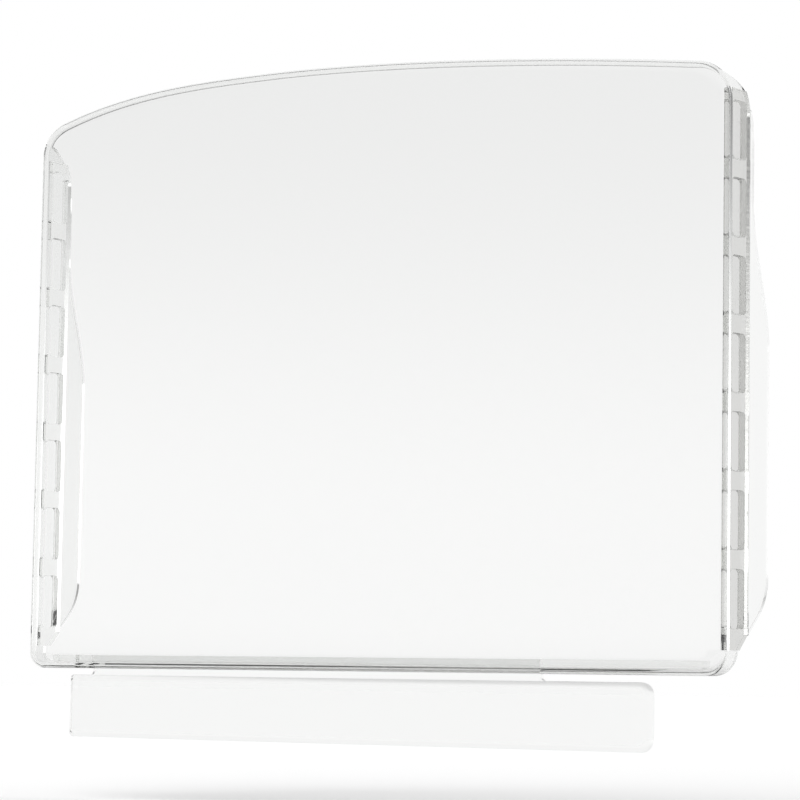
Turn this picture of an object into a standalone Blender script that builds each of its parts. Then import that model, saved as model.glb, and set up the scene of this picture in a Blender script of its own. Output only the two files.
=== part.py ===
"""Clear sneeze guard for a serving counter, as seven bonded plastic pieces.

Frame: metres, +Z up, +X along the width, and the flat front faces -Y. The origin is mid-width on the
underside that seats on the counter, in the lip behind the slot that the hanging tab's neck goes up through.
Below, depth is measured from the flat front, and guard_frame carries every piece to its place.
"""

import math

import bmesh
import bpy
from mathutils import Matrix, Vector

# Overall form
GUARD_WIDTH = 0.456
CROWN_HEIGHT = 0.333
CROWN_X = -0.062  # the crown of the top edge lies left of the middle
LEFT_DROP = 0.020  # how far the top edge falls from the crown to each side
LEFT_POWER = 3.0
RIGHT_DROP = 0.0235
RIGHT_POWER = 1.7
SHOULDER_RADIUS = 0.021
LEFT_FOOT_RADIUS = 0.009
RIGHT_FOOT_RADIUS = 0.013

# Sheet and rolled edge
WALL = 0.003
ROLL_RADIUS = 0.0085
SIDE_LAND = 0.0002  # flat left behind the rolled edge beside a corner post
TOP_LAND = 0.001  # flat left behind it along the top
SEAT_LIP = 0.0032  # flat behind the neck's slot, at the bottom

# Corner posts, each a ladder of slots
POST_FOOT = 0.0129
POST_FALL = 0.0362  # from the crown down to the posts' tops
POST_DEPTH = 0.018
POST_THICKNESS = 0.005
POST_CHAMFER = 0.008
CHEEK_ROUND = 0.022  # rounds the rear of a post's top, and runs on over the shell's shoulder
CHEEK_FALL = 0.0128  # from a post's top down to where that round starts
SLOT_COUNT = 7
SLOT_BAR = 0.0096  # the bar left between two slots
SLOT_FOOT_LAND = 0.0107
SLOT_TOP_LAND = 0.0056
SLOT_RADIUS = 0.0025
SLOT_WEB = 0.001  # the slots are blind: this closes them at the outer face
FRONT_STILE = 0.0016
REAR_STILE = 0.003

# Side wings
WING_SPLAY = math.radians(2.7)  # the posts and wings lean outwards to the rear
WING_NIB = 0.0035  # how far a wing stands out behind its post, above the flare
FLARE_DEPTH = 0.0164
FLARE_FALL = 0.091  # from the crown down to where the flare starts
FLARE_LENGTH = 0.077
WING_TOP_FALL = 0.0088  # from a post's top down to its wing's
WING_TOP_ROUND = 0.020
WING_FOOT_ANGLE = math.radians(43)
WING_FOOT_CORNER = 0.039
WING_FOOT_ROUND = 0.030

# Bottom rail and hanging tab
RAIL_HEIGHT = 0.0043
RAIL_FRONT_WALL = 0.0015
RAIL_REAR_WALL = 0.0037
RAIL_END_INSET = 0.015
NECK_LEFT_INSET = 0.0434  # from the guard's side to the neck's end
NECK_RIGHT_INSET = 0.1110
NECK_THICKNESS = 0.003
NECK_FILLET = 0.0027
NECK_LEDGE = 0.0005  # flat past the neck's fillets, sunk into the tab with them
NECK_SINK = 0.0002
NECK_ROOT = 0.009  # how far the neck reaches down inside the tab
SLOT_PLAY = 0.012  # the slot for the neck is this much longer at its left end
COUNTER_GAP = 0.0035  # the counter sheet goes in this gap, between guard and tab
TAB_HEIGHT = 0.0355
TAB_THICKNESS = 0.0055
TAB_LEFT_EAR = 0.0164
TAB_RIGHT_EAR = 0.0660
TAB_LEFT_RADIUS = 0.0018
TAB_RIGHT_RADIUS = 0.007
TAB_EDGE_ROUND = 0.0035

# Fits
BOND_GAP = 0.0003  # left between bonded faces
NECK_CLEARANCE = 0.0003
CUT_MARGIN = 0.002

ARC_STEPS = 10
TOP_STEPS = 40
FLARE_STEPS = 20
ROLL_SEGMENTS = 5
TAB_EDGE_SEGMENTS = 3
NEAR = 1e-7
SLOPE_STEP = 1e-5
LEAN_PASSES = 30
SHARP_ANGLE = math.radians(30)
CLEAR = (0.93, 0.95, 0.95, 1.0)
CLEAR_IOR = 1.58
CLEAR_TRANSMISSION = 0.95

HALF_WIDTH = GUARD_WIDTH / 2
SIDE_RETURN = ROLL_RADIUS + SIDE_LAND
POST_START = SIDE_RETURN + BOND_GAP
POST_REAR = POST_START + POST_DEPTH
POST_TOP = CROWN_HEIGHT - POST_FALL
CHEEK_FOOT = POST_TOP - CHEEK_FALL
POST_LANDS = SLOT_FOOT_LAND + SLOT_TOP_LAND + (SLOT_COUNT - 1) * SLOT_BAR
SLOT_HEIGHT = (POST_TOP - POST_FOOT - POST_LANDS) / SLOT_COUNT
WING_START = POST_REAR + BOND_GAP
WING_DEPTH_UPPER = WING_START + WING_NIB
WING_DEPTH_LOWER = WING_DEPTH_UPPER + FLARE_DEPTH
WING_TOP = POST_TOP - WING_TOP_FALL
FLARE_TOP = CROWN_HEIGHT - FLARE_FALL
FLARE_FOOT = FLARE_TOP - FLARE_LENGTH
RAIL_FOOT = WALL + BOND_GAP
RAIL_TOP = RAIL_FOOT + RAIL_HEIGHT
RAIL_FRONT = ROLL_RADIUS + BOND_GAP
NECK_LEFT = -HALF_WIDTH + NECK_LEFT_INSET
NECK_RIGHT = HALF_WIDTH - NECK_RIGHT_INSET
NECK_FRONT = RAIL_FRONT + RAIL_FRONT_WALL + NECK_CLEARANCE
NECK_REAR = NECK_FRONT + NECK_THICKNESS
RAIL_REAR = NECK_REAR + NECK_CLEARANCE + RAIL_REAR_WALL
TOP_RETURN = ROLL_RADIUS + TOP_LAND
SEAT_RETURN = NECK_REAR + NECK_CLEARANCE + SEAT_LIP
SEAT_DEPTH = SEAT_RETURN - SEAT_LIP / 2
TAB_TOP = -COUNTER_GAP


def clear_scene():
    for item in list(bpy.data.objects):
        bpy.data.objects.remove(item, do_unlink=True)


def make_collection(name):
    collection = bpy.data.collections.new(name)
    bpy.context.scene.collection.children.link(collection)
    return collection


def make_frame(collection):
    """An empty that puts the flat front as far forward of the origin as the seat lies behind it."""
    frame = bpy.data.objects.new("guard_frame", None)
    frame.location = (0.0, -SEAT_DEPTH, 0.0)
    collection.objects.link(frame)


def clear_plastic(name, roughness):
    material = bpy.data.materials.new(name)
    material.use_nodes = True
    shader = material.node_tree.nodes["Principled BSDF"]
    shader.inputs["Base Color"].default_value = CLEAR
    shader.inputs["Roughness"].default_value = roughness
    shader.inputs["Metallic"].default_value = 0.0
    shader.inputs["Transmission Weight"].default_value = CLEAR_TRANSMISSION
    shader.inputs["IOR"].default_value = CLEAR_IOR
    return material


def arc(centre, radius, start, end, steps=ARC_STEPS):
    """Points on a circle from one angle to the other, in radians."""
    angles = [start + (end - start) * i / steps for i in range(steps + 1)]
    return [(centre[0] + radius * math.cos(a), centre[1] + radius * math.sin(a)) for a in angles]


def corner_arc(before, corner, after, radius, steps=ARC_STEPS):
    """Points of the arc that rounds a corner of an outline."""
    corner = Vector(corner)
    towards = (Vector(before) - corner).normalized()
    away = (Vector(after) - corner).normalized()
    half = towards.angle(away) / 2
    centre = corner + (towards + away).normalized() * radius / math.sin(half)
    first = corner + towards * radius / math.tan(half) - centre
    last = corner + away * radius / math.tan(half) - centre
    sweep = first.angle_signed(last)
    turned = [Matrix.Rotation(-sweep * i / steps, 2) @ first for i in range(steps + 1)]
    return [tuple(centre + point) for point in turned]


def rounded(points):
    """An outline from (x, y, radius) corners, with an arc at each that has a radius."""
    outline = []
    for i, (x, y, radius) in enumerate(points):
        if radius:
            before = points[i - 1][:2]
            after = points[(i + 1) % len(points)][:2]
            outline += corner_arc(before, (x, y), after, radius)
        else:
            outline.append((x, y))
    return outline


def extruded(outline, depth, place):
    """A bmesh of an outline given as (u, v), extruded by depth along w. place gives each point's place."""
    mesh = bmesh.new()
    face = mesh.faces.new([mesh.verts.new(place(u, v, 0.0)) for u, v in outline])
    grown = bmesh.ops.extrude_face_region(mesh, geom=[face])
    moved = [item for item in grown["geom"] if isinstance(item, bmesh.types.BMVert)]
    shift = Vector(place(0.0, 0.0, depth)) - Vector(place(0.0, 0.0, 0.0))
    bmesh.ops.translate(mesh, vec=shift, verts=moved)
    bmesh.ops.recalc_face_normals(mesh, faces=mesh.faces)
    return mesh


def facing(u, v, w):
    """An outline seen from the front, which grows to the rear."""
    return (u, w, v)


def side_on(u, v, w):
    """An outline of depth and height, which grows inwards, for the right side before its splay."""
    return (-w, u, v)


def finish_object(mesh, name, collection, material=None):
    data = bpy.data.meshes.new(name)
    mesh.to_mesh(data)
    mesh.free()
    item = bpy.data.objects.new(name, data)
    item.parent = bpy.data.objects["guard_frame"]
    collection.objects.link(item)
    if material:
        data.materials.append(material)
        data.shade_smooth()
        data.set_sharp_from_angle(angle=SHARP_ANGLE)
    else:
        item.hide_render = True
        item.display_type = "WIRE"
    return item


def boolean(item, other, operation="DIFFERENCE"):
    modifier = item.modifiers.new(operation.title(), "BOOLEAN")
    modifier.operation = operation
    modifier.solver = "EXACT"
    modifier.object = other


def block(name, low, high, collection):
    """A box cutter between two corners."""
    mesh = bmesh.new()
    size = [b - a for a, b in zip(low, high)]
    middle = [(a + b) / 2 for a, b in zip(low, high)]
    matrix = Matrix.Translation(middle) @ Matrix.Diagonal((*size, 1.0))
    bmesh.ops.create_cube(mesh, size=1.0, matrix=matrix)
    return finish_object(mesh, name, collection)


def top_edge(x):
    """Height of the arched top edge at a place across the width."""
    side = math.copysign(1.0, x - CROWN_X)
    reach = abs(x - CROWN_X) / (HALF_WIDTH - side * CROWN_X)
    if side < 0:
        return CROWN_HEIGHT - LEFT_DROP * reach**LEFT_POWER
    return CROWN_HEIGHT - RIGHT_DROP * reach**RIGHT_POWER


def shoulder(side):
    """Centre height of a shoulder's arc, and the angle from upright at which it meets the top edge."""
    across = HALF_WIDTH - SHOULDER_RADIUS
    lean = 0.0
    for _ in range(LEAN_PASSES):
        meets = side * (across + SHOULDER_RADIUS * math.sin(lean))
        slope = (top_edge(meets + SLOPE_STEP) - top_edge(meets - SLOPE_STEP)) / (2 * SLOPE_STEP)
        lean = math.atan(-side * slope)
    return top_edge(meets) - SHOULDER_RADIUS * math.cos(lean), lean


def guard_outline():
    """The front's outline, anticlockwise from the left foot."""
    left_foot = (-HALF_WIDTH + LEFT_FOOT_RADIUS, LEFT_FOOT_RADIUS)
    right_foot = (HALF_WIDTH - RIGHT_FOOT_RADIUS, RIGHT_FOOT_RADIUS)
    outline = arc(left_foot, LEFT_FOOT_RADIUS, math.pi, 1.5 * math.pi)
    outline += arc(right_foot, RIGHT_FOOT_RADIUS, 1.5 * math.pi, 2 * math.pi)
    across = HALF_WIDTH - SHOULDER_RADIUS
    right_height, right_lean = shoulder(1)
    left_height, left_lean = shoulder(-1)
    outline += arc((across, right_height), SHOULDER_RADIUS, 0.0, math.pi / 2 - right_lean)
    start = across + SHOULDER_RADIUS * math.sin(right_lean)
    end = -across - SHOULDER_RADIUS * math.sin(left_lean)
    for i in range(1, TOP_STEPS):
        x = start + (end - start) * i / TOP_STEPS
        outline.append((x, top_edge(x)))
    outline += arc((-across, left_height), SHOULDER_RADIUS, math.pi / 2 + left_lean, math.pi)
    return outline


def round_front(mesh, radius, segments):
    """Rounds the edges of a mesh's front face, which lies at no depth."""
    front = [edge for edge in mesh.edges if all(abs(vert.co.y) < NEAR for vert in edge.verts)]
    bmesh.ops.bevel(
        mesh, geom=front, offset=radius, segments=segments, profile=0.5, affect="EDGES", material=-1
    )


def cheek_arc(low_angle, high_angle):
    """Part of the round over the rear of the posts' tops, by depth and height. Angles are above the rear."""
    return arc((POST_REAR - CHEEK_ROUND, CHEEK_FOOT), CHEEK_ROUND, low_angle, high_angle)


def trim_outline():
    """What is cut away behind the shell, by depth and height."""
    last = math.acos((TOP_RETURN - POST_REAR + CHEEK_ROUND) / CHEEK_ROUND)
    rear = POST_REAR + CUT_MARGIN
    outline = [(SEAT_RETURN, -CUT_MARGIN), (SEAT_RETURN, CHEEK_FOOT)]
    outline += cheek_arc(0.0, last)
    top = CROWN_HEIGHT + CUT_MARGIN
    return outline + [(TOP_RETURN, top), (rear, top), (rear, -CUT_MARGIN)]


def make_front_shell(parts, cutters, material):
    mesh = extruded(guard_outline(), POST_REAR, facing)
    rear = [face for face in mesh.faces if face.calc_center_median().y > POST_REAR - NEAR]
    bmesh.ops.delete(mesh, geom=rear, context="FACES_ONLY")
    spread = 1 + (POST_REAR - SIDE_RETURN) * math.tan(WING_SPLAY) / HALF_WIDTH
    rim = [vert for vert in mesh.verts if vert.co.y > POST_REAR - NEAR]
    bmesh.ops.scale(mesh, vec=(spread, 1.0, 1.0), verts=rim)
    round_front(mesh, ROLL_RADIUS, ROLL_SEGMENTS)
    shell = finish_object(mesh, "front_shell", parts, material)
    wall = shell.modifiers.new("Wall", "SOLIDIFY")
    wall.thickness = WALL
    wall.offset = -1.0
    wall.use_even_offset = True
    reach = HALF_WIDTH * spread + CUT_MARGIN
    mesh = extruded(trim_outline(), 2 * reach, side_on)
    bmesh.ops.translate(mesh, vec=(reach, 0.0, 0.0), verts=mesh.verts)
    boolean(shell, finish_object(mesh, "shell_trim", cutters))
    for side in (-1, 1):
        inner = side * (HALF_WIDTH - WALL - CUT_MARGIN)
        low = (min(inner, side * reach), SIDE_RETURN, POST_FOOT - BOND_GAP)
        high = (max(inner, side * reach), POST_REAR + CUT_MARGIN, POST_TOP + BOND_GAP)
        boolean(shell, block(f"post_place_{side}", low, high, cutters))
    low, high = neck_slot(-CUT_MARGIN, WALL + CUT_MARGIN)
    boolean(shell, block("shell_slot", low, high, cutters))
    return shell


def neck_slot(foot, top):
    """Corners of the slot that the tab's neck goes up through."""
    low = (NECK_LEFT - SLOT_PLAY, NECK_FRONT - NECK_CLEARANCE, foot)
    high = (NECK_RIGHT + NECK_CLEARANCE, NECK_REAR + NECK_CLEARANCE, top)
    return low, high


def post_outline():
    outline = [
        (POST_START, POST_FOOT),
        (POST_REAR - POST_CHAMFER, POST_FOOT),
        (POST_REAR, POST_FOOT + POST_CHAMFER),
    ]
    outline += cheek_arc(0.0, math.asin(CHEEK_FALL / CHEEK_ROUND))
    outline.append((POST_START, POST_TOP))
    return outline


def slot_outline(index):
    foot = POST_FOOT + SLOT_FOOT_LAND + index * (SLOT_HEIGHT + SLOT_BAR)
    top = foot + SLOT_HEIGHT
    front = POST_START + FRONT_STILE
    rear = POST_REAR - REAR_STILE
    corners = [(front, foot), (rear, foot), (rear, top), (front, top)]
    return rounded([(u, v, SLOT_RADIUS) for u, v in corners])


def to_side(item, side):
    """Splays a piece of the right side about the post's front, and mirrors it for the left."""
    splay = Matrix.Rotation(-WING_SPLAY, 4, "Z")
    hinge = Matrix.Translation((0.0, SIDE_RETURN, 0.0))
    placed = Matrix.Translation((HALF_WIDTH, 0.0, 0.0)) @ hinge @ splay @ hinge.inverted()
    if side < 0:
        placed = Matrix.Diagonal((-1.0, 1.0, 1.0, 1.0)) @ placed
    item.data.transform(placed)
    if side < 0:
        item.data.flip_normals()


def make_post(name, side, parts, cutters, material):
    post = finish_object(extruded(post_outline(), POST_THICKNESS, side_on), name, parts, material)
    to_side(post, side)
    for index in range(SLOT_COUNT):
        mesh = extruded(slot_outline(index), POST_THICKNESS - SLOT_WEB + CUT_MARGIN, side_on)
        bmesh.ops.translate(mesh, vec=(-SLOT_WEB, 0.0, 0.0), verts=mesh.verts)
        cutter = finish_object(mesh, f"{name}_slot_{index + 1}", cutters)
        to_side(cutter, side)
        boolean(post, cutter)
    return post


def flare(height):
    """How deep the wing's rear edge lies at a height."""
    share = min(1.0, max(0.0, (FLARE_TOP - height) / (FLARE_TOP - FLARE_FOOT)))
    eased = share * share * (3 - 2 * share)
    return WING_DEPTH_UPPER + (WING_DEPTH_LOWER - WING_DEPTH_UPPER) * eased


def wing_outline():
    foot_run = WING_DEPTH_LOWER - WING_START
    foot = WING_FOOT_CORNER - foot_run * math.tan(WING_FOOT_ANGLE)
    outline = [(WING_START, foot)]
    corner = (WING_DEPTH_LOWER, WING_FOOT_CORNER)
    outline += corner_arc((WING_START, foot), corner, (WING_DEPTH_LOWER, FLARE_FOOT), WING_FOOT_ROUND)
    for i in range(FLARE_STEPS + 1):
        height = FLARE_FOOT + (FLARE_TOP - FLARE_FOOT) * i / FLARE_STEPS
        outline.append((flare(height), height))
    for i in range(ARC_STEPS + 1):
        turn = math.pi / 2 * i / ARC_STEPS
        height = WING_TOP - WING_TOP_ROUND * (1 - math.sin(turn))
        outline.append((WING_START + WING_NIB * math.cos(turn), height))
    return outline


def make_wing(name, side, parts, material):
    wing = finish_object(extruded(wing_outline(), WALL, side_on), name, parts, material)
    to_side(wing, side)
    return wing


def make_bottom_rail(parts, cutters, material):
    reach = HALF_WIDTH - RAIL_END_INSET
    corners = [(-reach, RAIL_FRONT), (reach, RAIL_FRONT), (reach, RAIL_REAR), (-reach, RAIL_REAR)]
    mesh = extruded(corners, RAIL_HEIGHT, lambda u, v, w: (u, v, RAIL_FOOT + w))
    rail = finish_object(mesh, "bottom_rail", parts, material)
    low, high = neck_slot(RAIL_FOOT - CUT_MARGIN, RAIL_TOP + CUT_MARGIN)
    boolean(rail, block("rail_slot", low, high, cutters))
    return rail


def tab_outline():
    left = NECK_LEFT - TAB_LEFT_EAR
    right = NECK_RIGHT + TAB_RIGHT_EAR
    foot = TAB_TOP - TAB_HEIGHT
    return rounded(
        [
            (left, foot, TAB_LEFT_RADIUS),
            (right, foot, TAB_RIGHT_RADIUS),
            (right, TAB_TOP, TAB_RIGHT_RADIUS),
            (left, TAB_TOP, TAB_LEFT_RADIUS),
        ]
    )


def neck_outline():
    """The neck from inside the tab up to the rail's top, filleted where it leaves the tab."""
    ledge = TAB_TOP - NECK_SINK
    root = TAB_TOP - NECK_ROOT
    left_root = NECK_LEFT - NECK_FILLET - NECK_LEDGE
    right_root = NECK_RIGHT + NECK_FILLET + NECK_LEDGE
    return rounded(
        [
            (left_root, root, 0),
            (right_root, root, 0),
            (right_root, ledge, 0),
            (NECK_RIGHT, ledge, NECK_FILLET),
            (NECK_RIGHT, RAIL_TOP, 0),
            (NECK_LEFT, RAIL_TOP, 0),
            (NECK_LEFT, ledge, NECK_FILLET),
            (left_root, ledge, 0),
        ]
    )


def make_hanging_tab(parts, cutters, material):
    mesh = extruded(tab_outline(), TAB_THICKNESS, facing)
    round_front(mesh, TAB_EDGE_ROUND, TAB_EDGE_SEGMENTS)
    bmesh.ops.translate(mesh, vec=(0.0, NECK_REAR - TAB_THICKNESS, 0.0), verts=mesh.verts)
    tab = finish_object(mesh, "hanging_tab", parts, material)
    mesh = extruded(neck_outline(), NECK_THICKNESS - BOND_GAP, facing)
    bmesh.ops.translate(mesh, vec=(0.0, NECK_FRONT, 0.0), verts=mesh.verts)
    boolean(tab, finish_object(mesh, "neck", cutters), "UNION")
    return tab


def main():
    clear_scene()
    parts = make_collection("sneeze_guard")
    cutters = make_collection("cutters")
    make_frame(parts)
    make_front_shell(parts, cutters, clear_plastic("clear_front", 0.03))
    post_plastic = clear_plastic("clear_post", 0.06)
    wing_plastic = clear_plastic("clear_wing", 0.04)
    for name, side in (("left", -1), ("right", 1)):
        make_post(f"{name}_corner_post", side, parts, cutters, post_plastic)
        make_wing(f"{name}_wing", side, parts, wing_plastic)
    make_bottom_rail(parts, cutters, clear_plastic("clear_rail", 0.06))
    make_hanging_tab(parts, cutters, clear_plastic("clear_tab", 0.04))


main()
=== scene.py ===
"""The looks of a clear sneeze guard: seven clear plastic pieces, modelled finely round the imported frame.

The flat front faces -Y, the wings point to +Y, and Z = 0 is the underside that seats on the counter.
Sizes below are the maker's own. Overall places come from the frame's nodes.
"""

import math

import bmesh
import bpy
from mathutils import Matrix, Vector


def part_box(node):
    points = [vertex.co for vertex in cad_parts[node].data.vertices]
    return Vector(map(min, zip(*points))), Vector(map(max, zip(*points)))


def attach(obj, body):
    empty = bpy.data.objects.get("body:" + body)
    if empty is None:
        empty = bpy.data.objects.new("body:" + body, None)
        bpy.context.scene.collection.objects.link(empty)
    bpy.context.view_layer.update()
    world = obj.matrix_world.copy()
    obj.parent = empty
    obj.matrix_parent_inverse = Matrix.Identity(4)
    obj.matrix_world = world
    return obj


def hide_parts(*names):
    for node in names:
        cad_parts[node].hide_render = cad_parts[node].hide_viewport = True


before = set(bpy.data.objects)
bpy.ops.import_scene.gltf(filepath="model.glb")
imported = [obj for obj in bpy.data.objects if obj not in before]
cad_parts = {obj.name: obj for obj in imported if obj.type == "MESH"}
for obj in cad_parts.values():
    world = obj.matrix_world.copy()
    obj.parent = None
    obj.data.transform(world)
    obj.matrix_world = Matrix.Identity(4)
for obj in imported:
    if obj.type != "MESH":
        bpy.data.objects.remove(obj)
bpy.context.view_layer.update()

bl_info = {
    "name": "Clear Sneeze Guard",
    "version": (1, 0, 0),
    "blender": (4, 5, 0),
    "location": "3D View > Sidebar > Sneeze Guard",
    "description": "Builds a clear sneeze guard with slotted corner posts, side wings and a hanging tab",
    "category": "Object",
}

CUT_MARGIN = 0.002  # how far a cutter reaches past the face that it cuts
NEAR = 1e-6  # places closer than this are taken as one
SLOPE_STEP = 1e-5  # the step that measures how steep the top edge is
LEAN_PASSES = 30  # enough for a shoulder to meet the top edge without a kink
SHARP_ANGLE = math.radians(28)  # steeper edges are shaded sharp
ROUNDED_ANGLE = math.radians(35)  # steeper edges are rounded
TOP_STEPS = 96
CHEEK_STEPS = 28
FLARE_STEPS = 48
ROUND_STEPS = 16


def length(name, description, default):
    """A size in metres."""
    return bpy.props.FloatProperty(
        name=name, description=description, default=default, subtype="DISTANCE", unit="LENGTH", precision=4
    )


def turn(name, description, degrees):
    """An angle, kept in radians."""
    return bpy.props.FloatProperty(
        name=name, description=description, default=math.radians(degrees), subtype="ANGLE", unit="ROTATION"
    )


def count(name, description, default):
    """A whole number of at least one."""
    return bpy.props.IntProperty(name=name, description=description, default=default, min=1)


def amount(name, description, default):
    """A number without a unit."""
    return bpy.props.FloatProperty(name=name, description=description, default=default, precision=4)


def tint(name, description, default):
    """A colour with its alpha."""
    return bpy.props.FloatVectorProperty(
        name=name, description=description, default=default, subtype="COLOR", size=4, min=0.0, max=1.0
    )


class GUARD_PG_shell(bpy.types.PropertyGroup):
    """Sizes of the front panel and its rolled edge."""

    wall: length("Wall", "Thickness of the clear sheet", 0.003)
    half_width: length("Half width", "From mid-width to the panel's side, at the front", 0.228)
    roll: length("Roll", "Outer radius of the rolled edge", 0.0085)
    side_land: length("Side land", "Flat left behind the rolled edge at the sides", 0.0002)
    top_land: length("Top land", "Flat left behind the rolled edge along the top", 0.001)
    roll_steps: count("Roll steps", "Faces round the rolled edge", 12)
    crown_x: length("Crown", "Where the top edge is highest, from mid-width", -0.062)
    left_drop: length("Left drop", "Fall of the top edge from the crown to the left side", 0.020)
    left_power: amount("Left power", "How late the top edge falls to the left", 3.0)
    right_drop: length("Right drop", "Fall of the top edge from the crown to the right side", 0.0235)
    right_power: amount("Right power", "How late the top edge falls to the right", 1.7)
    shoulder: length("Shoulder", "Radius of the upper corners", 0.021)
    left_foot: length("Left foot", "Radius of the lower left corner", 0.009)
    right_foot: length("Right foot", "Radius of the lower right corner", 0.013)
    edge: length("Edge", "Rounding of the polished edges", 0.0011)


class GUARD_PG_posts(bpy.types.PropertyGroup):
    """Sizes of the slotted corner posts."""

    thickness: length("Thickness", "Thickness of a post", 0.005)
    splay: turn("Splay", "How far posts and wings lean outwards to the rear", 2.7)
    slots: count("Slots", "Slots up each post", 7)
    bar: length("Bar", "Bar left between two slots", 0.0096)
    foot_land: length("Foot land", "Solid length under the lowest slot", 0.0107)
    top_land: length("Top land", "Solid length over the highest slot", 0.0056)
    front_stile: length("Front stile", "Rail left in front of the slots", 0.0016)
    rear_stile: length("Rear stile", "Rail left behind the slots", 0.003)
    slot_corner: length("Slot corner", "Radius of the slots' corners", 0.0025)
    web: length("Web", "Wall that closes the slots at their outer face", 0.001)
    chamfer: length("Chamfer", "Corner cut off the rear of a post's foot", 0.008)
    cheek_round: length("Cheek round", "Round over the rear of a post's top and the shoulder", 0.022)
    cheek_fall: length("Cheek fall", "From a post's top down to where that round starts", 0.0128)
    edge: length("Edge", "Rounding of the moulded edges", 0.0004)


class GUARD_PG_wings(bpy.types.PropertyGroup):
    """Sizes of the side wings."""

    flare_top: length("Flare top", "Height at which a wing starts to widen", 0.242)
    flare_foot: length("Flare foot", "Height at which it is widest", 0.165)
    nib: length("Nib", "Depth of a wing above its flare", 0.0035)
    top_round: length("Top round", "Height of the rounded top", 0.020)
    foot_angle: turn("Foot angle", "Slope of the cut-away foot", 43)
    foot_corner: length("Foot corner", "Height of the corner over the cut-away foot", 0.039)
    foot_round: length("Foot round", "Radius of that corner", 0.030)
    edge: length("Edge", "Rounding of the polished edges", 0.0006)


class GUARD_PG_tab(bpy.types.PropertyGroup):
    """Sizes of the bottom rail and of the tab that hangs from it."""

    neck_left: length("Neck left", "From the panel's left side to the neck", 0.0434)
    neck_right: length("Neck right", "From the panel's right side to the neck", 0.1110)
    neck_thickness: length("Neck thickness", "Thickness of the neck", 0.003)
    neck_fillet: length("Neck fillet", "Radius where the neck leaves the tab", 0.0027)
    play: length("Slot play", "Extra length of the slot at its left end", 0.012)
    clearance: length("Clearance", "Gap round the neck in its slot", 0.0003)
    left_corner: length("Left corner", "Radius of the tab's left corners", 0.0018)
    right_corner: length("Right corner", "Radius of the tab's right corners", 0.007)
    front_round: length("Front round", "Rounding of the tab's front edge", 0.0035)
    gap: length("Counter gap", "Gap that takes the counter's sheet", 0.0035)
    edge: length("Edge", "Rounding of the other edges", 0.0003)


class GUARD_PG_finish(bpy.types.PropertyGroup):
    """How the clear plastic looks."""

    colour: tint("Colour", "Colour that the panel gives what is seen through it", (0.892, 0.894, 0.892, 1.0))
    # Painted light: this tint is paler than the panel's, so that wings, rail, tab and left post read lighter,
    # as if more light came through them.
    painted_light_colour: tint("Pale colour", "The same for wings, rail, tab and left post", (0.94, 0.942, 0.94, 1.0))
    # Painted shade: this grey tint darkens the right post to stand in for the shade that falls on it. Its
    # streaks and scuffs come from roughness and bumps only.
    painted_shade_colour: tint("Grey colour", "The same for the scuffed right post", (0.70, 0.70, 0.69, 1.0))
    depth_colour: tint("Depth colour", "Colour of thick plastic", (0.62, 0.64, 0.58, 1.0))
    depth: amount("Depth", "How soon thick plastic shows its colour, per metre", 12.0)
    ior: amount("IOR", "Index of refraction of the panel, the right post and the left wing", 1.40)
    soft_ior: amount("Soft IOR", "The same for the other pieces, low so that their edges stay faint", 1.27)
    haze: amount("Haze", "Roughness of a clean face", 0.012)
    smear: amount("Smear", "Roughness where the face was wiped", 0.06)
    wave: length("Wave", "Height of the slow waves that moulding leaves", 0.00002)
    wipes: amount("Wipes", "Wiped streaks to a metre", 14.0)
    specks: amount("Specks", "Dull specks to a metre", 420.0)


class GUARD_PG_stage(bpy.types.PropertyGroup):
    """The camera, the floor and the light."""

    camera_place: bpy.props.FloatVectorProperty(
        name="Camera place", description="Where the camera stands", default=(0.96628, -1.3679, -0.00816),
        subtype="XYZ", unit="LENGTH", size=3,
    )
    yaw: turn("Yaw", "How far the camera looks left of +Y", 34.607)
    pitch: turn("Pitch", "How far the camera looks up", 5.319)
    roll: turn("Roll", "How far the camera is turned about its own line of sight", 0.916)
    lens: bpy.props.FloatProperty(
        name="Lens", description="Focal length in millimetres", default=139.0, subtype="DISTANCE_CAMERA"
    )
    floor_drop: length("Floor drop", "How far the floor lies under the counter's level", 0.074)
    floor_size: length("Floor size", "Radius of the floor", 60.0)
    floor_colour: tint("Floor colour", "Colour of the pale floor", (0.92, 0.92, 0.92, 1.0))
    low_glow: amount("Low glow", "Brightness of the room low in front", 2.0)
    front_shade: amount("Front shade", "Brightness of the room in front, over the low glow", 0.3)
    overhead: amount("Overhead", "Brightness of the room high in front", 0.9)
    sun_place: bpy.props.FloatVectorProperty(
        name="Sun place", description="Where the soft light shines from", default=(0.24, -1.6, 1.12),
        subtype="XYZ", unit="LENGTH", size=3,
    )
    sun_strength: amount("Sun strength", "Strength of the soft light", 1.25)
    sun_spread: turn("Sun spread", "Angle that the soft light fills in the sky", 50)


def arc(centre, radius, start, end, steps=ROUND_STEPS):
    """Points on a circle from one angle to the other, in radians."""
    angles = [start + (end - start) * i / steps for i in range(steps + 1)]
    return [(centre[0] + radius * math.cos(a), centre[1] + radius * math.sin(a)) for a in angles]


def corner_arc(before, corner, after, radius, steps=12):
    """Points of the arc that rounds a corner of an outline."""
    corner = Vector(corner)
    towards = (Vector(before) - corner).normalized()
    away = (Vector(after) - corner).normalized()
    half = towards.angle(away) / 2
    centre = corner + (towards + away).normalized() * radius / math.sin(half)
    first = corner + towards * radius / math.tan(half) - centre
    last = corner + away * radius / math.tan(half) - centre
    sweep = first.angle_signed(last)
    return [tuple(centre + Matrix.Rotation(-sweep * i / steps, 2) @ first) for i in range(steps + 1)]


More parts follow.
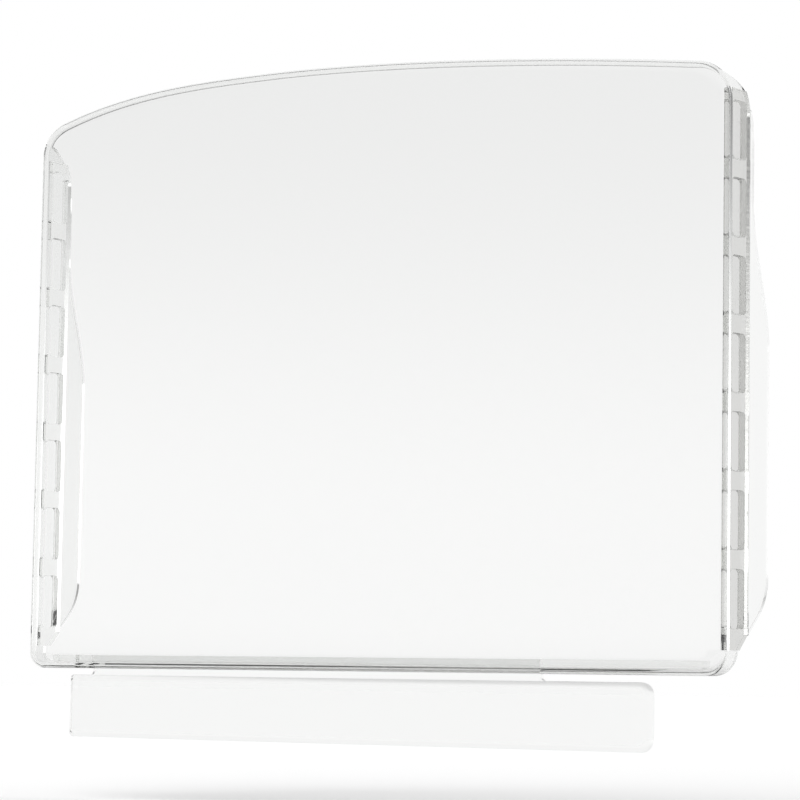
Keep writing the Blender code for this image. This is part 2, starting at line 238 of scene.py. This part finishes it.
def rounded(corners, steps=12):
    """An outline from (x, y, radius) corners, with an arc at each that has a radius."""
    outline = []
    for i, (x, y, radius) in enumerate(corners):
        if radius:
            before = corners[i - 1][:2]
            after = corners[(i + 1) % len(corners)][:2]
            outline += corner_arc(before, (x, y), after, radius, steps)
        else:
            outline.append((x, y))
    return outline


def facing(u, v, w):
    """An outline seen from the front, which grows to the rear."""
    return (u, w, v)


def side_on(u, v, w):
    """An outline of depth and height, which grows inwards from the right side."""
    return (-w, u, v)


def lying(u, v, w):
    """An outline seen from above, which grows upwards."""
    return (u, v, w)


def extruded(outline, depth, place):
    """A closed bmesh of a flat outline, extruded by depth."""
    mesh = bmesh.new()
    face = mesh.faces.new([mesh.verts.new(place(u, v, 0.0)) for u, v in outline])
    grown = bmesh.ops.extrude_face_region(mesh, geom=[face])
    moved = [item for item in grown["geom"] if isinstance(item, bmesh.types.BMVert)]
    shift = Vector(place(0.0, 0.0, depth)) - Vector(place(0.0, 0.0, 0.0))
    bmesh.ops.translate(mesh, vec=shift, verts=moved)
    bmesh.ops.recalc_face_normals(mesh, faces=mesh.faces)
    return mesh


def round_front(mesh, radius, steps):
    """Rounds the edges of a mesh's front face, which lies at no depth."""
    front = [edge for edge in mesh.edges if all(abs(vert.co.y) < NEAR for vert in edge.verts)]
    bmesh.ops.bevel(
        mesh, geom=front, offset=radius, segments=steps, profile=0.5, affect="EDGES", material=-1
    )


def as_object(mesh, name):
    """Turns a bmesh into an object of the scene."""
    data = bpy.data.meshes.new(name)
    mesh.to_mesh(data)
    mesh.free()
    item = bpy.data.objects.new(name, data)
    bpy.context.scene.collection.objects.link(item)
    return item


def add_boolean(item, other, operation="DIFFERENCE"):
    """Cuts another solid from an item, or joins it."""
    modifier = item.modifiers.new(operation.title(), "BOOLEAN")
    modifier.operation = operation
    modifier.solver = "EXACT"
    modifier.object = other


def add_edge_rounding(item, width, segments=3):
    """Rounds an item's sharp edges."""
    modifier = item.modifiers.new("Edges", "BEVEL")
    modifier.width = width
    modifier.segments = segments
    modifier.limit_method = "ANGLE"
    modifier.angle_limit = ROUNDED_ANGLE
    modifier.miter_outer = "MITER_ARC"
    modifier.use_clamp_overlap = True
    modifier.loop_slide = True


def apply_modifiers(item, helpers=()):
    """Keeps what the modifiers make as the item's own mesh, and removes what they used."""
    graph = bpy.context.evaluated_depsgraph_get()
    data = bpy.data.meshes.new_from_object(item.evaluated_get(graph))
    item.modifiers.clear()
    old = item.data
    item.data = data
    bpy.data.meshes.remove(old)
    for helper in helpers:
        bpy.data.objects.remove(helper, do_unlink=True)
    data.name = item.name


def block(low, high):
    """A box between two corners, as a helper object."""
    mesh = bmesh.new()
    size = [b - a for a, b in zip(low, high)]
    middle = [(a + b) / 2 for a, b in zip(low, high)]
    matrix = Matrix.Translation(middle) @ Matrix.Diagonal((*size, 1.0))
    bmesh.ops.create_cube(mesh, size=1.0, matrix=matrix)
    return as_object(mesh, "helper")


def finish_piece(item, node, material):
    """Shades a piece, gives it its plastic and lets it stand for its node of the frame."""
    item.data.materials.clear()
    item.data.materials.append(material)
    item.data.shade_smooth()
    item.data.set_sharp_from_angle(angle=SHARP_ANGLE)
    even = item.modifiers.new("Even shading", "WEIGHTED_NORMAL")
    even.mode = "FACE_AREA"
    even.keep_sharp = True
    apply_modifiers(item)
    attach(item, "root")
    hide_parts(node)


def settings():
    """The scene, which holds the property groups."""
    return bpy.context.scene


class Nodes:
    """A short way to add nodes to a tree and to link them."""

    def __init__(self, tree):
        self.tree = tree

    def add(self, kind, **values):
        node = self.tree.nodes.new(kind)
        for name, value in values.items():
            setattr(node, name, value)
        return node

    def link(self, source, target):
        self.tree.links.new(source, target)

    def noise(self, vector, scale, detail=2.0, roughness=0.5):
        node = self.add("ShaderNodeTexNoise")
        node.inputs["Scale"].default_value = scale
        node.inputs["Detail"].default_value = detail
        node.inputs["Roughness"].default_value = roughness
        self.link(vector, node.inputs["Vector"])
        return node.outputs["Fac"]

    def stretched(self, vector, scale):
        node = self.add("ShaderNodeMapping")
        node.inputs["Scale"].default_value = scale
        self.link(vector, node.inputs["Vector"])
        return node.outputs["Vector"]

    def between(self, value, low, high, to_low, to_high):
        node = self.add("ShaderNodeMapRange")
        node.interpolation_type = "SMOOTHSTEP"
        for name, number in zip(("From Min", "From Max", "To Min", "To Max"), (low, high, to_low, to_high)):
            node.inputs[name].default_value = number
        self.link(value, node.inputs["Value"])
        return node.outputs["Result"]

    def maths(self, operation, first, second):
        node = self.add("ShaderNodeMath", operation=operation)
        for socket, value in zip(node.inputs, (first, second)):
            if isinstance(value, (int, float)):
                socket.default_value = value
            else:
                self.link(value, socket)
        return node.outputs["Value"]

    def bump(self, height, distance, normal=None):
        node = self.add("ShaderNodeBump")
        node.inputs["Distance"].default_value = distance
        node.inputs["Strength"].default_value = 1.0
        self.link(height, node.inputs["Height"])
        if normal:
            self.link(normal, node.inputs["Normal"])
        return node.outputs["Normal"]


def clear_plastic(name, colour, ior, streak, waves, dullness, scuff=0.0):
    """Clear plastic with slow moulding waves, wiped streaks and a trace of colour in its depth.

    The streaks run along the axis where streak is small, waves counts the moulding's waves to a metre,
    dullness is a share of the usual roughness, and scuff is the depth of the streaks.
    """
    finish = settings().guard_finish
    material = bpy.data.materials.new(name)
    material.use_nodes = True
    nodes = Nodes(material.node_tree)
    shader = material.node_tree.nodes["Principled BSDF"]
    shader.inputs["Base Color"].default_value = colour
    shader.inputs["Metallic"].default_value = 0.0
    shader.inputs["IOR"].default_value = ior
    shader.inputs["Transmission Weight"].default_value = 1.0
    place = nodes.add("ShaderNodeTexCoord").outputs["Object"]
    wiped = nodes.noise(nodes.stretched(place, streak), finish.wipes, detail=5.0, roughness=0.62)
    specks = nodes.noise(place, finish.specks)
    rough = nodes.between(wiped, 0.52, 0.74, finish.haze * dullness, finish.smear * dullness)
    dusty = nodes.between(specks, 0.66, 0.74, 0.0, finish.smear * dullness)
    nodes.link(nodes.maths("ADD", rough, dusty), shader.inputs["Roughness"])
    slow = nodes.bump(nodes.noise(place, waves, detail=1.5), finish.wave)
    fine = nodes.bump(nodes.noise(place, waves * 9), finish.wave / 4, slow)
    nodes.link(nodes.bump(wiped, scuff, fine), shader.inputs["Normal"])
    depth = nodes.add("ShaderNodeVolumeAbsorption")
    depth.inputs["Color"].default_value = finish.depth_colour
    depth.inputs["Density"].default_value = finish.depth
    output = material.node_tree.nodes["Material Output"]
    nodes.link(depth.outputs["Volume"], output.inputs["Volume"])
    return material


def top_edge(x, shell, half, height):
    """Height of the arched top edge at a place across the width."""
    side = math.copysign(1.0, x - shell.crown_x)
    reach = abs(x - shell.crown_x) / (half - side * shell.crown_x)
    if side < 0:
        return height - shell.left_drop * reach**shell.left_power
    return height - shell.right_drop * reach**shell.right_power


def shoulder_arc(side, shell, half, height):
    """Centre height of a shoulder, and how far from upright it meets the top edge."""
    across = half - shell.shoulder
    lean = 0.0
    for _ in range(LEAN_PASSES):
        meets = side * (across + shell.shoulder * math.sin(lean))
        rise = top_edge(meets + SLOPE_STEP, shell, half, height)
        rise -= top_edge(meets - SLOPE_STEP, shell, half, height)
        lean = math.atan(-side * rise / (2 * SLOPE_STEP))
    return top_edge(meets, shell, half, height) - shell.shoulder * math.cos(lean), lean


def panel_outline(shell, half, height):
    """The front's outline, anticlockwise from the left foot."""
    quarter = math.pi / 2
    outline = arc((-half + shell.left_foot, shell.left_foot), shell.left_foot, 2 * quarter, 3 * quarter)
    outline += arc((half - shell.right_foot, shell.right_foot), shell.right_foot, 3 * quarter, 4 * quarter)
    across = half - shell.shoulder
    right_height, right_lean = shoulder_arc(1, shell, half, height)
    left_height, left_lean = shoulder_arc(-1, shell, half, height)
    outline += arc((across, right_height), shell.shoulder, 0.0, quarter - right_lean)
    start = across + shell.shoulder * math.sin(right_lean)
    end = -across - shell.shoulder * math.sin(left_lean)
    for i in range(1, TOP_STEPS):
        x = start + (end - start) * i / TOP_STEPS
        outline.append((x, top_edge(x, shell, half, height)))
    outline += arc((-across, left_height), shell.shoulder, quarter + left_lean, 2 * quarter)
    return outline


def neck_range():
    """Depths and ends of the tab's neck, in the frame."""
    tab = settings().guard_tab
    half = settings().guard_shell.half_width
    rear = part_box("hanging_tab")[1].y
    return tab.neck_left - half, half - tab.neck_right, rear - tab.neck_thickness, rear


def neck_slot(foot, top):
    """A block that cuts the slot which the neck goes up through, longer at its left end."""
    tab = settings().guard_tab
    left, right, front, rear = neck_range()
    low = (left - tab.play, front - tab.clearance, foot)
    return block(low, (right + tab.clearance, rear + tab.clearance, top))


def post_depths():
    """Front and rear of a post before its splay."""
    low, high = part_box("right_corner_post")
    posts = settings().guard_posts
    spare = posts.thickness * math.sin(posts.splay)
    return low.y, low.y + (high.y - low.y - spare) / math.cos(posts.splay)


def cheek_arc(low_angle, high_angle):
    """Part of the round over the rear of the posts' tops, by depth and height."""
    posts = settings().guard_posts
    centre = (post_depths()[1] - posts.cheek_round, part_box("right_corner_post")[1].z - posts.cheek_fall)
    return arc(centre, posts.cheek_round, low_angle, high_angle, CHEEK_STEPS)


def trim_block(front, seat, reach):
    """A solid that cuts away what lies behind the shell, so that its edge sweeps over the shoulders."""
    shell = settings().guard_shell
    posts = settings().guard_posts
    rear = post_depths()[1]
    edge = front + shell.roll + shell.top_land
    last = math.acos((edge - rear + posts.cheek_round) / posts.cheek_round)
    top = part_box("front_shell")[1].z + CUT_MARGIN
    outline = [(seat, -CUT_MARGIN), (seat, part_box("right_corner_post")[1].z - posts.cheek_fall)]
    outline += cheek_arc(0.0, last)
    outline += [(edge, top), (rear + CUT_MARGIN, top), (rear + CUT_MARGIN, -CUT_MARGIN)]
    mesh = extruded(outline, 2 * reach, side_on)
    bmesh.ops.translate(mesh, vec=(reach, 0.0, 0.0), verts=mesh.verts)
    return as_object(mesh, "helper")


class GUARD_OT_front_shell(bpy.types.Operator):
    """Model the clear front panel with its rolled edge"""

    bl_idname = "guard.front_shell"
    bl_label = "Front Shell"

    def execute(self, context):
        shell = context.scene.guard_shell
        posts = context.scene.guard_posts
        gap = context.scene.guard_tab.clearance
        low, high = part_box("front_shell")
        half = shell.half_width
        depth = post_depths()[1] - low.y
        mesh = extruded(panel_outline(shell, half, high.z), depth, facing)
        rear = [face for face in mesh.faces if face.calc_center_median().y > depth - NEAR]
        bmesh.ops.delete(mesh, geom=rear, context="FACES_ONLY")
        spread = 1 + (depth - shell.roll - shell.side_land) * math.tan(posts.splay) / half
        rim = [vert for vert in mesh.verts if vert.co.y > depth - NEAR]
        bmesh.ops.scale(mesh, vec=(spread, 1.0, 1.0), verts=rim)
        round_front(mesh, shell.roll, shell.roll_steps)
        bmesh.ops.translate(mesh, vec=(0.0, low.y, 0.0), verts=mesh.verts)
        item = as_object(mesh, "clear_front_shell")
        wall = item.modifiers.new("Wall", "SOLIDIFY")
        wall.thickness = shell.wall
        wall.offset = -1.0
        wall.use_even_offset = True
        reach = half * spread + CUT_MARGIN
        seat = -neck_range()[3] - gap  # the origin lies midway along the lip behind the slot
        helpers = [trim_block(low.y, seat, reach), neck_slot(-CUT_MARGIN, shell.wall + CUT_MARGIN)]
        for node, side in (("left_corner_post", -1), ("right_corner_post", 1)):
            post_low, post_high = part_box(node)
            ends = sorted((side * (half - shell.wall - CUT_MARGIN), side * reach))
            cut_low = (ends[0], post_low.y - gap, post_low.z - gap)
            helpers.append(block(cut_low, (ends[1], post_depths()[1] + CUT_MARGIN, post_high.z + gap)))
        for helper in helpers:
            add_boolean(item, helper)
        add_edge_rounding(item, shell.edge, segments=2)
        apply_modifiers(item, helpers)
        finish = context.scene.guard_finish
        plastic = clear_plastic(
            "clear_front", finish.colour, finish.ior,
            streak=(0.35, 1.0, 1.6), waves=7.0, dullness=0.5, scuff=0.000002,
        )
        finish_piece(item, "front_shell", plastic)
        return {"FINISHED"}


def splayed(item, side):
    """Splays a piece of the right side about the post's front, and mirrors it for the left."""
    posts = settings().guard_posts
    shell = settings().guard_shell
    hinge = Matrix.Translation((0.0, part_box("front_shell")[0].y + shell.roll + shell.side_land, 0.0))
    lean = hinge @ Matrix.Rotation(-posts.splay, 4, "Z") @ hinge.inverted()
    placed = Matrix.Translation((shell.half_width, 0.0, 0.0)) @ lean
    if side < 0:
        placed = Matrix.Diagonal((-1.0, 1.0, 1.0, 1.0)) @ placed
    item.data.transform(placed)
    if side < 0:
        item.data.flip_normals()


def make_post(node, side, plastic):
    """One post: an outline with a cut foot and a round top, and a column of blind slots in its inner face."""
    posts = settings().guard_posts
    low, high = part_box(node)
    front, rear = post_depths()
    outline = [(front, low.z), (rear - posts.chamfer, low.z), (rear, low.z + posts.chamfer)]
    outline += cheek_arc(0.0, math.asin(posts.cheek_fall / posts.cheek_round))
    outline.append((front, high.z))
    item = as_object(extruded(outline, posts.thickness, side_on), f"clear_{node}")
    lands = posts.foot_land + posts.top_land + (posts.slots - 1) * posts.bar
    tall = (high.z - low.z - lands) / posts.slots
    cutter = bmesh.new()
    for index in range(posts.slots):
        foot = low.z + posts.foot_land + index * (tall + posts.bar)
        sides = (front + posts.front_stile, rear - posts.rear_stile)
        corners = [
            (sides[0], foot, posts.slot_corner),
            (sides[1], foot, posts.slot_corner),
            (sides[1], foot + tall, posts.slot_corner),
            (sides[0], foot + tall, posts.slot_corner),
        ]
        slot = extruded(rounded(corners, 8), posts.thickness - posts.web + CUT_MARGIN, side_on)
        bmesh.ops.translate(slot, vec=(-posts.web, 0.0, 0.0), verts=slot.verts)
        data = bpy.data.meshes.new("slot")
        slot.to_mesh(data)
        slot.free()
        cutter.from_mesh(data)
        bpy.data.meshes.remove(data)
    helper = as_object(cutter, "helper")
    add_boolean(item, helper)
    add_edge_rounding(item, posts.edge)
    apply_modifiers(item, [helper])
    splayed(item, side)
    finish_piece(item, node, plastic)


class GUARD_OT_corner_posts(bpy.types.Operator):
    """Model the two slotted corner posts"""

    bl_idname = "guard.corner_posts"
    bl_label = "Corner Posts"

    def execute(self, context):
        finish = context.scene.guard_finish
        # The left post's paler tint is painted light, a lit copy of the plastic that the right post shares.
        clean = clear_plastic(
            "clear_left_post", finish.painted_light_colour, finish.soft_ior,
            streak=(1.0, 1.0, 0.3), waves=20.0, dullness=3.0,
        )
        make_post("left_corner_post", -1, clean)
        # The right post's grey tint is painted shade, and its scuffs are real roughness and bumps.
        scuffed_with_painted_shade = clear_plastic(
            "clear_right_post", finish.painted_shade_colour, finish.ior,
            streak=(4.0, 1.0, 20.0), waves=60.0, dullness=3.0, scuff=0.00004,
        )
        make_post("right_corner_post", 1, scuffed_with_painted_shade)
        return {"FINISHED"}


def wing_outline(start, deepest, wings, top):
    """Depth and height round a wing, anticlockwise from the inner end of its foot."""
    run = deepest - start
    foot = (start, wings.foot_corner - run * math.tan(wings.foot_angle))
    corner = (deepest, wings.foot_corner)
    outline = [foot]
    outline += corner_arc(foot, corner, (deepest, wings.flare_foot), wings.foot_round, 20)
    slim = start + wings.nib
    for i in range(FLARE_STEPS + 1):
        share = i / FLARE_STEPS
        eased = share * share * (3 - 2 * share)
        height = wings.flare_foot + (wings.flare_top - wings.flare_foot) * share
        outline.append((deepest + (slim - deepest) * eased, height))
    for i in range(ROUND_STEPS + 1):
        angle = math.pi / 2 * i / ROUND_STEPS
        height = top - wings.top_round * (1 - math.sin(angle))
        outline.append((start + wings.nib * math.cos(angle), height))
    return outline


def make_wing(node, side, plastic):
    """One wing: a thin sheet whose rear edge flares out lower down."""
    wings = settings().guard_wings
    shell = settings().guard_shell
    posts = settings().guard_posts
    gap = settings().guard_tab.clearance
    low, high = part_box(node)
    start = post_depths()[1] + gap
    spare = shell.wall * math.sin(posts.splay)
    deepest = start + (high.y - low.y - spare) / math.cos(posts.splay)
    outline = wing_outline(start, deepest, wings, high.z)
    item = as_object(extruded(outline, shell.wall, side_on), f"clear_{node}")
    add_edge_rounding(item, wings.edge)
    apply_modifiers(item)
    splayed(item, side)
    finish_piece(item, node, plastic)


class GUARD_OT_side_wings(bpy.types.Operator):
    """Model the two clear side wings"""

    bl_idname = "guard.side_wings"
    bl_label = "Side Wings"

    def execute(self, context):
        finish = context.scene.guard_finish
        for side, name, ior in ((-1, "left_wing", finish.ior), (1, "right_wing", finish.soft_ior)):
            # The wings' paler tint is painted light.
            plastic = clear_plastic(
                f"clear_{name}", finish.painted_light_colour, ior, streak=(1.0, 1.0, 0.4), waves=12.0, dullness=0.6
            )
            make_wing(name, side, plastic)
        return {"FINISHED"}


class GUARD_OT_bottom_rail(bpy.types.Operator):
    """Model the rail inside the panel's bottom edge"""

    bl_idname = "guard.bottom_rail"
    bl_label = "Bottom Rail"

    def execute(self, context):
        low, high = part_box("bottom_rail")
        corners = [(low.x, low.y), (high.x, low.y), (high.x, high.y), (low.x, high.y)]
        mesh = extruded(corners, high.z - low.z, lying)
        bmesh.ops.translate(mesh, vec=(0.0, 0.0, low.z), verts=mesh.verts)
        item = as_object(mesh, "clear_bottom_rail")
        helper = neck_slot(low.z - CUT_MARGIN, high.z + CUT_MARGIN)
        add_boolean(item, helper)
        add_edge_rounding(item, context.scene.guard_tab.edge)
        apply_modifiers(item, [helper])
        finish = context.scene.guard_finish
        # The rail's paler tint is painted light.
        plastic = clear_plastic(
            "clear_rail", finish.painted_light_colour, finish.soft_ior,
            streak=(0.2, 1.0, 1.0), waves=40.0, dullness=1.0, scuff=0.00001,
        )
        finish_piece(item, "bottom_rail", plastic)
        return {"FINISHED"}


class GUARD_OT_hanging_tab(bpy.types.Operator):
    """Model the tab that hangs through the counter's slot, with its neck"""

    bl_idname = "guard.hanging_tab"
    bl_label = "Hanging Tab"

    def execute(self, context):
        tab = context.scene.guard_tab
        low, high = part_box("hanging_tab")
        left, right, neck_front, rear = neck_range()
        top = -tab.gap
        corners = [
            (low.x, low.z, tab.left_corner),
            (high.x, low.z, tab.right_corner),
            (high.x, top, tab.right_corner),
            (low.x, top, tab.left_corner),
        ]
        mesh = extruded(rounded(corners), high.y - low.y, facing)
        round_front(mesh, tab.front_round, 8)
        bmesh.ops.translate(mesh, vec=(0.0, low.y, 0.0), verts=mesh.verts)
        item = as_object(mesh, "clear_hanging_tab")
        sink = top - tab.clearance
        root = top - 3 * tab.neck_fillet
        reach = tab.neck_fillet + tab.clearance
        neck = rounded(
            [
                (left - reach, root, 0.0),
                (right + reach, root, 0.0),
                (right + reach, sink, 0.0),
                (right, sink, tab.neck_fillet),
                (right, high.z, 0.0),
                (left, high.z, 0.0),
                (left, sink, tab.neck_fillet),
                (left - reach, sink, 0.0),
            ]
        )
        mesh = extruded(neck, tab.neck_thickness - tab.clearance, facing)
        bmesh.ops.translate(mesh, vec=(0.0, neck_front, 0.0), verts=mesh.verts)
        helper = as_object(mesh, "helper")
        add_boolean(item, helper, "UNION")
        add_edge_rounding(item, tab.edge)
        apply_modifiers(item, [helper])
        finish = context.scene.guard_finish
        # The tab's paler tint is painted light.
        plastic = clear_plastic(
            "clear_tab", finish.painted_light_colour, finish.soft_ior,
            streak=(0.3, 1.0, 1.2), waves=16.0, dullness=0.9, scuff=0.00002,
        )
        finish_piece(item, "hanging_tab", plastic)
        return {"FINISHED"}


def pale_floor_material():
    """The floor's matt plastic."""
    material = bpy.data.materials.new("pale_floor")
    material.use_nodes = True
    shader = material.node_tree.nodes["Principled BSDF"]
    shader.inputs["Base Color"].default_value = settings().guard_stage.floor_colour
    shader.inputs["Roughness"].default_value = 0.9
    shader.inputs["Specular IOR Level"].default_value = 0.1
    return material


def make_sky():
    """A white room that is dark in front, between a glow low down and the light overhead."""
    stage = settings().guard_stage
    world = bpy.data.worlds.new("studio")
    bpy.context.scene.world = world
    world.use_nodes = True
    nodes = Nodes(world.node_tree)
    background = world.node_tree.nodes["Background"]
    direction = nodes.add("ShaderNodeTexCoord").outputs["Generated"]
    axes = nodes.add("ShaderNodeSeparateXYZ")
    nodes.link(direction, axes.inputs["Vector"])
    rise = axes.outputs["Z"]
    horizon = nodes.between(rise, 0.0, 0.02, 0.6, 1.0)
    glow = nodes.between(rise, 0.05, 0.20, stage.low_glow, stage.front_shade)
    low = nodes.maths("MULTIPLY", horizon, glow)
    high = nodes.between(rise, 0.35, 0.95, stage.front_shade, stage.overhead)
    front = nodes.between(axes.outputs["Y"], -0.45, -0.1, 1.0, 0.0)
    dim = nodes.maths("SUBTRACT", 1.0, nodes.maths("MAXIMUM", low, high))
    strength = nodes.maths("SUBTRACT", 1.0, nodes.maths("MULTIPLY", front, dim))
    nodes.link(strength, background.inputs["Strength"])
    background.inputs["Color"].default_value = (1.0, 1.0, 1.0, 1.0)


def add_sun():
    """A soft light aimed at the origin, which is not seen in the plastic or through it."""
    stage = settings().guard_stage
    light = bpy.data.lights.new("high_sun", "SUN")
    light.energy = stage.sun_strength
    light.angle = stage.sun_spread
    item = bpy.data.objects.new("high_sun", light)
    bpy.context.scene.collection.objects.link(item)
    item.location = stage.sun_place
    item.rotation_mode = "QUATERNION"
    item.rotation_quaternion = (-Vector(stage.sun_place)).to_track_quat("-Z", "Y")
    item.visible_glossy = False
    item.visible_transmission = False


class GUARD_OT_stage(bpy.types.Operator):
    """Make the pale floor, the soft light and the camera"""

    bl_idname = "guard.stage"
    bl_label = "Stage"

    def execute(self, context):
        stage = context.scene.guard_stage
        mesh = bmesh.new()
        bmesh.ops.create_circle(mesh, cap_ends=True, segments=96, radius=stage.floor_size)
        bmesh.ops.translate(mesh, vec=(0.0, 0.0, -stage.floor_drop), verts=mesh.verts)
        floor = as_object(mesh, "floor")
        floor.data.materials.append(pale_floor_material())
        make_sky()
        add_sun()
        camera = bpy.data.objects.new("camera", bpy.data.cameras.new("camera"))
        context.scene.collection.objects.link(camera)
        aim = Matrix.Rotation(stage.yaw, 4, "Z") @ Matrix.Rotation(math.pi / 2 + stage.pitch, 4, "X")
        aim = aim @ Matrix.Rotation(stage.roll, 4, "Z")
        camera.matrix_world = Matrix.Translation(stage.camera_place) @ aim
        camera.data.lens = stage.lens
        camera.data.sensor_width = 36.0
        camera.data.clip_start = 0.05
        camera.data.clip_end = 200.0
        context.scene.camera = camera
        context.scene.view_settings.view_transform = "Standard"
        return {"FINISHED"}


class GUARD_PT_sidebar(bpy.types.Panel):
    """The guard's sizes and steps in the sidebar"""

    bl_idname = "GUARD_PT_sidebar"
    bl_label = "Sneeze Guard"
    bl_space_type = "VIEW_3D"
    bl_region_type = "UI"
    bl_category = "Sneeze Guard"

    def draw(self, context):
        for key in GROUPS:
            column = self.layout.column(align=True)
            column.label(text=key.removeprefix("guard_").title())
            group = getattr(context.scene, key)
            for name in group.bl_rna.properties.keys():
                if name not in {"rna_type", "name"}:
                    column.prop(group, name)
        for step in STEPS:
            self.layout.operator(step.bl_idname)


GROUPS = {
    "guard_shell": GUARD_PG_shell,
    "guard_posts": GUARD_PG_posts,
    "guard_wings": GUARD_PG_wings,
    "guard_tab": GUARD_PG_tab,
    "guard_finish": GUARD_PG_finish,
    "guard_stage": GUARD_PG_stage,
}
STEPS = (
    GUARD_OT_front_shell,
    GUARD_OT_corner_posts,
    GUARD_OT_side_wings,
    GUARD_OT_bottom_rail,
    GUARD_OT_hanging_tab,
    GUARD_OT_stage,
)


def register():
    for group in GROUPS.values():
        bpy.utils.register_class(group)
    for key, group in GROUPS.items():
        setattr(bpy.types.Scene, key, bpy.props.PointerProperty(type=group))
    for step in STEPS:
        bpy.utils.register_class(step)
    bpy.utils.register_class(GUARD_PT_sidebar)


def unregister():
    bpy.utils.unregister_class(GUARD_PT_sidebar)
    for step in reversed(STEPS):
        bpy.utils.unregister_class(step)
    for key, group in GROUPS.items():
        delattr(bpy.types.Scene, key)
        bpy.utils.unregister_class(group)


def main():
    register()
    bpy.ops.guard.front_shell()
    bpy.ops.guard.corner_posts()
    bpy.ops.guard.side_wings()
    bpy.ops.guard.bottom_rail()
    bpy.ops.guard.hanging_tab()
    bpy.ops.guard.stage()


if __name__ == "__main__":
    main()
